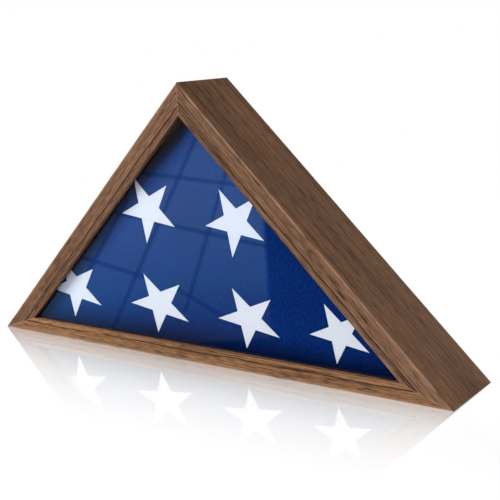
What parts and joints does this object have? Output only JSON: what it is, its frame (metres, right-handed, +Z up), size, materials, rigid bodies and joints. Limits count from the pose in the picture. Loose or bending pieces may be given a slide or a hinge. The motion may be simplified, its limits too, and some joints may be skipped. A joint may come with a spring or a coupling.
{
  "type": "folded flag display case",
  "caption": "Triangular wooden shadow-box case with a front pane, a folded flag inside, a lift-out back panel held by turn buttons, and wall hangers.",
  "frame": {"origin": "under the middle of the case, on the surface that it stands on", "axes": "+X along the base towards the viewer's right, +Y from the window to the back, +Z up to the apex"},
  "size_m": [0.6476, 0.1014, 0.3239],
  "materials": {
    "walnut": "satin",
    "glass": "polished",
    "black_stop": "matte",
    "flag_cloth": "woven",
    "back_board": "satin",
    "black_felt": "napped",
    "nickel_steel": "satin",
    "screw_steel": "bright",
    "nail_steel": "dull",
    "bumper_rubber": "matte"
  },
  "bodies": {
    "case": {"rail_left": "walnut", "rail_right": "walnut", "rail_base": "walnut", "corner_nail_apex": "nail_steel", "corner_nail_left": "nail_steel", "corner_nail_right": "nail_steel", "glass_pane": "glass", "stop_left": "black_stop", "stop_right": "black_stop", "stop_base": "black_stop", "folded_flag": "flag_cloth", "button_screw_upper_left": "screw_steel", "button_screw_upper_right": "screw_steel", "button_screw_lower_left": "screw_steel", "button_screw_lower_right": "screw_steel", "button_screw_base_left": "screw_steel", "button_screw_base_right": "screw_steel", "hanger_strap_left": "nickel_steel", "hanger_screw_left": "screw_steel", "wall_bumper_left": "bumper_rubber", "hanger_strap_right": "nickel_steel", "hanger_screw_right": "screw_steel", "wall_bumper_right": "bumper_rubber"},
    "panel": {"back_panel": "back_board", "panel_lining": "black_felt"},
    "button_upper_left": {"turn_button_upper_left": "nickel_steel"},
    "button_upper_right": {"turn_button_upper_right": "nickel_steel"},
    "button_lower_left": {"turn_button_lower_left": "nickel_steel"},
    "button_lower_right": {"turn_button_lower_right": "nickel_steel"},
    "button_base_left": {"turn_button_base_left": "nickel_steel"},
    "button_base_right": {"turn_button_base_right": "nickel_steel"},
    "ring_left": {"hanger_ring_left": "nickel_steel"},
    "ring_right": {"hanger_ring_right": "nickel_steel"}
  },
  "joints": [
    {"name": "panel_lift_out", "type": "slide", "parent": "case", "child": "panel", "axis": [0, 1, 0], "range_m": [0, 0.15]},
    {"name": "button_turn_upper_left", "type": "hinge", "parent": "case", "child": "button_upper_left", "pos_m": [-0.06965, 0.04535, 0.24516], "axis": [0, 1, 0], "range_deg": [0, 90]},
    {"name": "button_turn_upper_right", "type": "hinge", "parent": "case", "child": "button_upper_right", "pos_m": [0.06965, 0.04535, 0.24516], "axis": [0, -1, 0], "range_deg": [0, 90]},
    {"name": "button_turn_lower_left", "type": "hinge", "parent": "case", "child": "button_lower_left", "pos_m": [-0.22521, 0.04535, 0.08959], "axis": [0, 1, 0], "range_deg": [0, 90]},
    {"name": "button_turn_lower_right", "type": "hinge", "parent": "case", "child": "button_lower_right", "pos_m": [0.22521, 0.04535, 0.08959], "axis": [0, -1, 0], "range_deg": [0, 90]},
    {"name": "button_turn_base_left", "type": "hinge", "parent": "case", "child": "button_base_left", "pos_m": [-0.165, 0.04535, 0.00466], "axis": [0, 1, 0], "range_deg": [0, 90]},
    {"name": "button_turn_base_right", "type": "hinge", "parent": "case", "child": "button_base_right", "pos_m": [0.165, 0.04535, 0.00466], "axis": [0, -1, 0], "range_deg": [0, 90]},
    {"name": "ring_swing_left", "type": "hinge", "parent": "case", "child": "ring_left", "pos_m": [-0.11137, 0.04765, 0.20202], "axis": [0.7071, 0, -0.7071], "range_deg": [0, 180]},
    {"name": "ring_swing_right", "type": "hinge", "parent": "case", "child": "ring_right", "pos_m": [0.11137, 0.04765, 0.20202], "axis": [0.7071, 0, 0.7071], "range_deg": [0, 180]}
  ]
}
